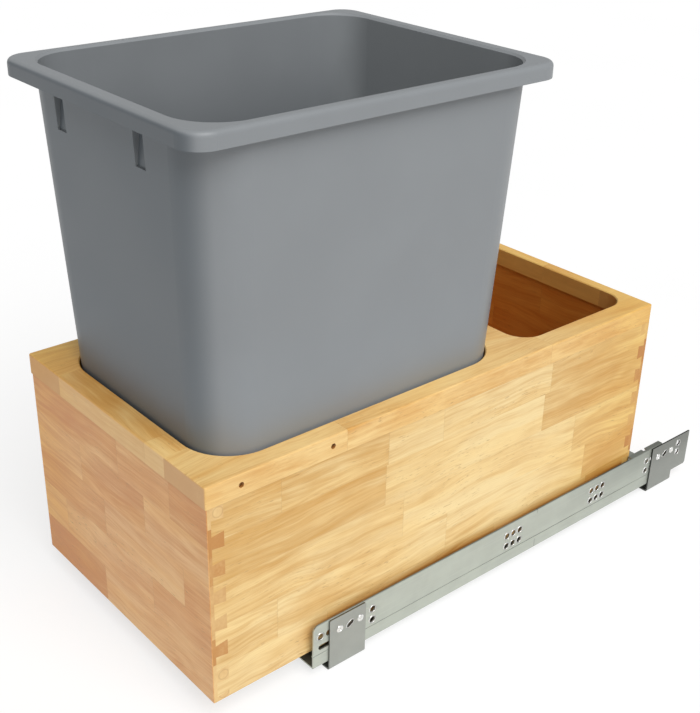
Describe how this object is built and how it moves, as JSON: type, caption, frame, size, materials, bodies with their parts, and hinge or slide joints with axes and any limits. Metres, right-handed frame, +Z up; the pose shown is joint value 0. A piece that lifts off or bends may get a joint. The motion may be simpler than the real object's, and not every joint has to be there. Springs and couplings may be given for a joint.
{
  "type": "pull out waste unit for a kitchen base cabinet",
  "caption": "Dovetailed wooden box on full-extension undermount slides with floor brackets, carrying a lift-out waste bin in a cut-out top board, with an open storage well behind it.",
  "frame": {"origin": "on the cabinet floor, in the middle of the rectangle of floor screw holes in the four bracket feet", "axes": "+X to the right seen from the front, +Y to the back of the cabinet, +Z up; the box is drawn 100 mm out of its closed place"},
  "size_m": [0.3042, 0.6492, 0.5098],
  "materials": {
    "top_wood": "clear satin lacquer",
    "front_wood": "clear satin lacquer",
    "back_wood": "clear satin lacquer",
    "side_wood": "clear satin lacquer",
    "panel_wood": "clear satin lacquer",
    "bin_plastic": "satin moulded",
    "rail_steel": "zinc plated",
    "inner_rail_steel": "zinc plated",
    "bracket_steel": "zinc plated",
    "screw_steel": "bright zinc plated",
    "cage_plastic": "satin moulded",
    "roller_plastic": "satin moulded",
    "damper_plastic": "satin moulded",
    "damper_steel": "drawn",
    "clip_plastic": "satin moulded"
  },
  "bodies": {
    "cabinet_side": {"cabinet_rail_right": "rail_steel", "cabinet_rail_left": "rail_steel", "front_bracket_right": "bracket_steel", "front_bracket_left": "bracket_steel", "rear_bracket_right": "bracket_steel", "rear_bracket_left": "bracket_steel", "damper_housing_right": "damper_plastic", "damper_housing_left": "damper_plastic", "damper_cylinder_right": "damper_steel", "damper_cylinder_left": "damper_steel", "bracket_screws": "screw_steel"},
    "box": {"top_board": "top_wood", "front_board": "front_wood", "back_board": "back_wood", "side_board_right": "side_wood", "side_board_left": "side_wood", "bottom_panel": "panel_wood", "drawer_rail_right": "inner_rail_steel", "drawer_rail_left": "inner_rail_steel", "clip_body_right": "clip_plastic", "clip_body_left": "clip_plastic", "clip_screws": "screw_steel"},
    "bin": {"bin": "bin_plastic"},
    "mid_right": {"intermediate_rail_right": "inner_rail_steel"},
    "lower_carriage_right": {"lower_cage_right": "cage_plastic", "lower_rollers_right": "roller_plastic"},
    "upper_carriage_right": {"upper_cage_right": "cage_plastic", "upper_rollers_right": "roller_plastic"},
    "lever_right": {"release_lever_right": "clip_plastic"},
    "catch_right": {"damper_catch_right": "damper_plastic", "piston_rod_right": "damper_steel"},
    "mid_left": {"intermediate_rail_left": "inner_rail_steel"},
    "lower_carriage_left": {"lower_cage_left": "cage_plastic", "lower_rollers_left": "roller_plastic"},
    "upper_carriage_left": {"upper_cage_left": "cage_plastic", "upper_rollers_left": "roller_plastic"},
    "lever_left": {"release_lever_left": "clip_plastic"},
    "catch_left": {"damper_catch_left": "damper_plastic", "piston_rod_left": "damper_steel"}
  },
  "joints": [
    {"name": "box_slide", "type": "slide", "parent": "cabinet_side", "child": "box", "axis": [0, -1, 0], "range_m": [-0.1, 0.433]},
    {"name": "bin_lift", "type": "slide", "parent": "box", "child": "bin", "axis": [0, 0, 1], "range_m": [0, 0.22]},
    {"name": "mid_right_slide", "type": "slide", "parent": "cabinet_side", "child": "mid_right", "axis": [0, -1, 0], "range_m": [-0.05, 0.2165]},
    {"name": "lower_carriage_right_slide", "type": "slide", "parent": "cabinet_side", "child": "lower_carriage_right", "axis": [0, -1, 0], "range_m": [-0.025, 0.10825]},
    {"name": "upper_carriage_right_slide", "type": "slide", "parent": "cabinet_side", "child": "upper_carriage_right", "axis": [0, -1, 0], "range_m": [-0.075, 0.32475]},
    {"name": "lever_right_hinge", "type": "hinge", "parent": "box", "child": "lever_right", "pos_m": [0.072, -0.33, 0.0306], "axis": [0, 0, 1], "range_deg": [0, 15], "stiffness_Nm_per_rad": 0.05},
    {"name": "catch_right_slide", "type": "slide", "parent": "cabinet_side", "child": "catch_right", "axis": [0, -1, 0], "range_m": [0, 0.04], "stiffness_N_per_m": 200},
    {"name": "mid_left_slide", "type": "slide", "parent": "cabinet_side", "child": "mid_left", "axis": [0, -1, 0], "range_m": [-0.05, 0.2165]},
    {"name": "lower_carriage_left_slide", "type": "slide", "parent": "cabinet_side", "child": "lower_carriage_left", "axis": [0, -1, 0], "range_m": [-0.025, 0.10825]},
    {"name": "upper_carriage_left_slide", "type": "slide", "parent": "cabinet_side", "child": "upper_carriage_left", "axis": [0, -1, 0], "range_m": [-0.075, 0.32475]},
    {"name": "lever_left_hinge", "type": "hinge", "parent": "box", "child": "lever_left", "pos_m": [-0.072, -0.33, 0.0306], "axis": [0, 0, -1], "range_deg": [0, 15], "stiffness_Nm_per_rad": 0.05},
    {"name": "catch_left_slide", "type": "slide", "parent": "cabinet_side", "child": "catch_left", "axis": [0, -1, 0], "range_m": [0, 0.04], "stiffness_N_per_m": 200}
  ],
  "couplings": [
    {"joint": "mid_right_slide", "follows": "box_slide", "ratio": 0.5},
    {"joint": "lower_carriage_right_slide", "follows": "box_slide", "ratio": 0.25},
    {"joint": "upper_carriage_right_slide", "follows": "box_slide", "ratio": 0.75},
    {"joint": "mid_left_slide", "follows": "box_slide", "ratio": 0.5},
    {"joint": "lower_carriage_left_slide", "follows": "box_slide", "ratio": 0.25},
    {"joint": "upper_carriage_left_slide", "follows": "box_slide", "ratio": 0.75}
  ]
}
